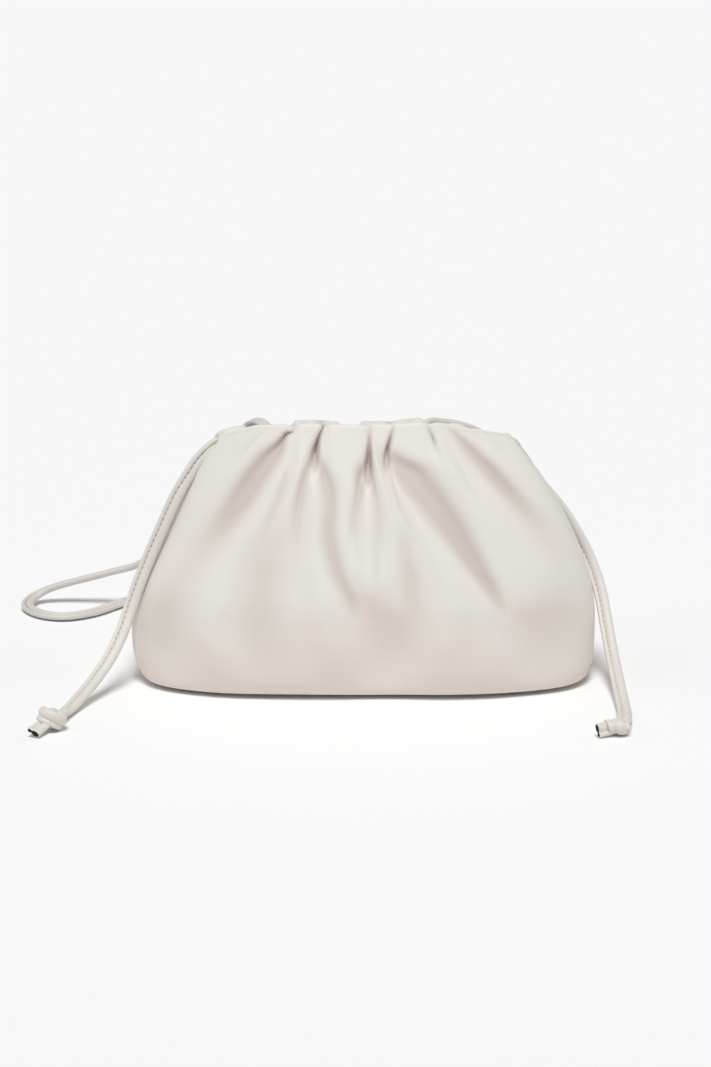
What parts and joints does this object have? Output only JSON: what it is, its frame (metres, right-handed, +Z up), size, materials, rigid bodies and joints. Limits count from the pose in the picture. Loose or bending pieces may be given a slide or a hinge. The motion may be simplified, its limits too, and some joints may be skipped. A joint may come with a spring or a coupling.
{
  "type": "pouch bag",
  "caption": "Small gathered pouch bag in soft pale leather, with a drawstring mouth, two knotted drawstring ends and a long stitched shoulder strap",
  "frame": {"origin": "middle of the base of the pouch, on the surface it stands on", "axes": "+X to the right across the front, +Y to the back, +Z up"},
  "size_m": [0.326, 0.2984, 0.1335],
  "materials": {
    "body_leather": "smooth, low sheen",
    "cord_leather": "smooth, stitched, low sheen"
  },
  "bodies": {
    "root": {"pouch_body": "body_leather", "drawstring_run": "cord_leather", "drawstring_left": "cord_leather", "drawstring_right": "cord_leather", "knot_left": "cord_leather", "knot_right": "cord_leather", "shoulder_strap": "cord_leather"}
  },
  "joints": []
}
